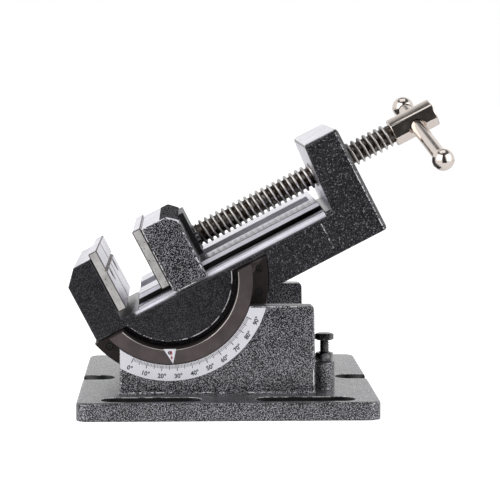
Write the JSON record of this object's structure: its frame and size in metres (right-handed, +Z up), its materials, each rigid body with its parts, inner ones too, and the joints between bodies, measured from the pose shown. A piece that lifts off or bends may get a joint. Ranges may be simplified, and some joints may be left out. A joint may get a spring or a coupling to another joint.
{
  "type": "tilting drill press vise",
  "caption": "Drill press vise whose body tilts in a slotted cast base, read on an angle scale, with a screw-driven sliding jaw and a ball-ended bar handle.",
  "frame": {"origin": "middle of the base plate's underside", "axes": "+Z up, +X along the base towards the handle end of the vise, +Y away from the side that carries the angle scale"},
  "size_m": [0.2326, 0.178, 0.1882],
  "materials": {
    "hammer_paint": "charcoal hammer paint on cast iron",
    "ground_steel": "ground steel",
    "turned_steel": "turned and browned steel",
    "thread_steel": "oiled machined thread",
    "nickel": "polished nickel plate",
    "black_oxide": "black oxide steel",
    "scale_plate": "satin anodised with printed graduations"
  },
  "bodies": {
    "base": {"base_casting": "hammer_paint", "angle_scale": "scale_plate", "stop_jam_nut": "black_oxide"},
    "stop_bolt": {"stop_bolt": "black_oxide"},
    "tilt_lock_1": {"tilt_lock_screw_1": "black_oxide"},
    "tilt_lock_2": {"tilt_lock_screw_2": "black_oxide"},
    "vise_body": {"vise_body_casting": "hammer_paint", "tilt_ring_front": "turned_steel", "tilt_ring_back": "turned_steel", "ring_screw_front_1": "black_oxide", "ring_screw_front_2": "black_oxide", "ring_screw_front_3": "black_oxide", "ring_screw_front_4": "black_oxide", "ring_screw_back_1": "black_oxide", "ring_screw_back_2": "black_oxide", "ring_screw_back_3": "black_oxide", "ring_screw_back_4": "black_oxide", "tilt_pointer": "scale_plate", "pointer_screw": "ground_steel", "fixed_jaw_plate": "ground_steel", "fixed_plate_screw_1": "black_oxide", "fixed_plate_screw_2": "black_oxide"},
    "moving_jaw": {"moving_jaw_casting": "hammer_paint", "moving_jaw_plate": "ground_steel", "moving_plate_screw_1": "black_oxide", "moving_plate_screw_2": "black_oxide", "screw_retainer": "ground_steel", "retainer_screw_1": "black_oxide", "retainer_screw_2": "black_oxide", "keeper_plate": "ground_steel", "keeper_screw_1": "black_oxide", "keeper_screw_2": "black_oxide"},
    "lead_screw": {"lead_screw": "thread_steel"},
    "handle": {"handle_bar": "nickel", "handle_ball_near": "nickel", "handle_ball_far": "nickel"}
  },
  "joints": [
    {"name": "tilt", "type": "hinge", "parent": "base", "child": "vise_body", "pos_m": [-0.035, 0, 0.0796], "axis": [0, -1, 0], "range_deg": [-27.5, 62.5]},
    {"name": "screw_turn", "type": "hinge", "parent": "moving_jaw", "child": "lead_screw", "pos_m": [-0.04036, 0, 0.08989], "axis": [0.887, 0, 0.4617], "range_deg": [-2134, 6841]},
    {"name": "jaw_slide", "type": "slide", "parent": "vise_body", "child": "moving_jaw", "axis": [0.887, 0, 0.4617], "range_m": [-0.0237, 0.076]},
    {"name": "handle_slide", "type": "slide", "parent": "lead_screw", "child": "handle", "axis": [0.1878, -0.9135, -0.3608], "range_m": [-0.0408, 0.0065]},
    {"name": "stop_height", "type": "slide", "parent": "base", "child": "stop_bolt", "axis": [0, 0, 1], "range_m": [-0.007, 0.005]},
    {"name": "lock_turn_1", "type": "hinge", "parent": "base", "child": "tilt_lock_1", "pos_m": [0.01249, 0.0617, 0.04992], "axis": [0, 1, 0], "range_deg": [0, 180]},
    {"name": "lock_turn_2", "type": "hinge", "parent": "base", "child": "tilt_lock_2", "pos_m": [-0.01402, 0.0617, 0.02768], "axis": [0, 1, 0], "range_deg": [0, 180]}
  ],
  "couplings": [
    {"joint": "screw_turn", "follows": "jaw_slide", "rad_per_m": 1570.8}
  ]
}
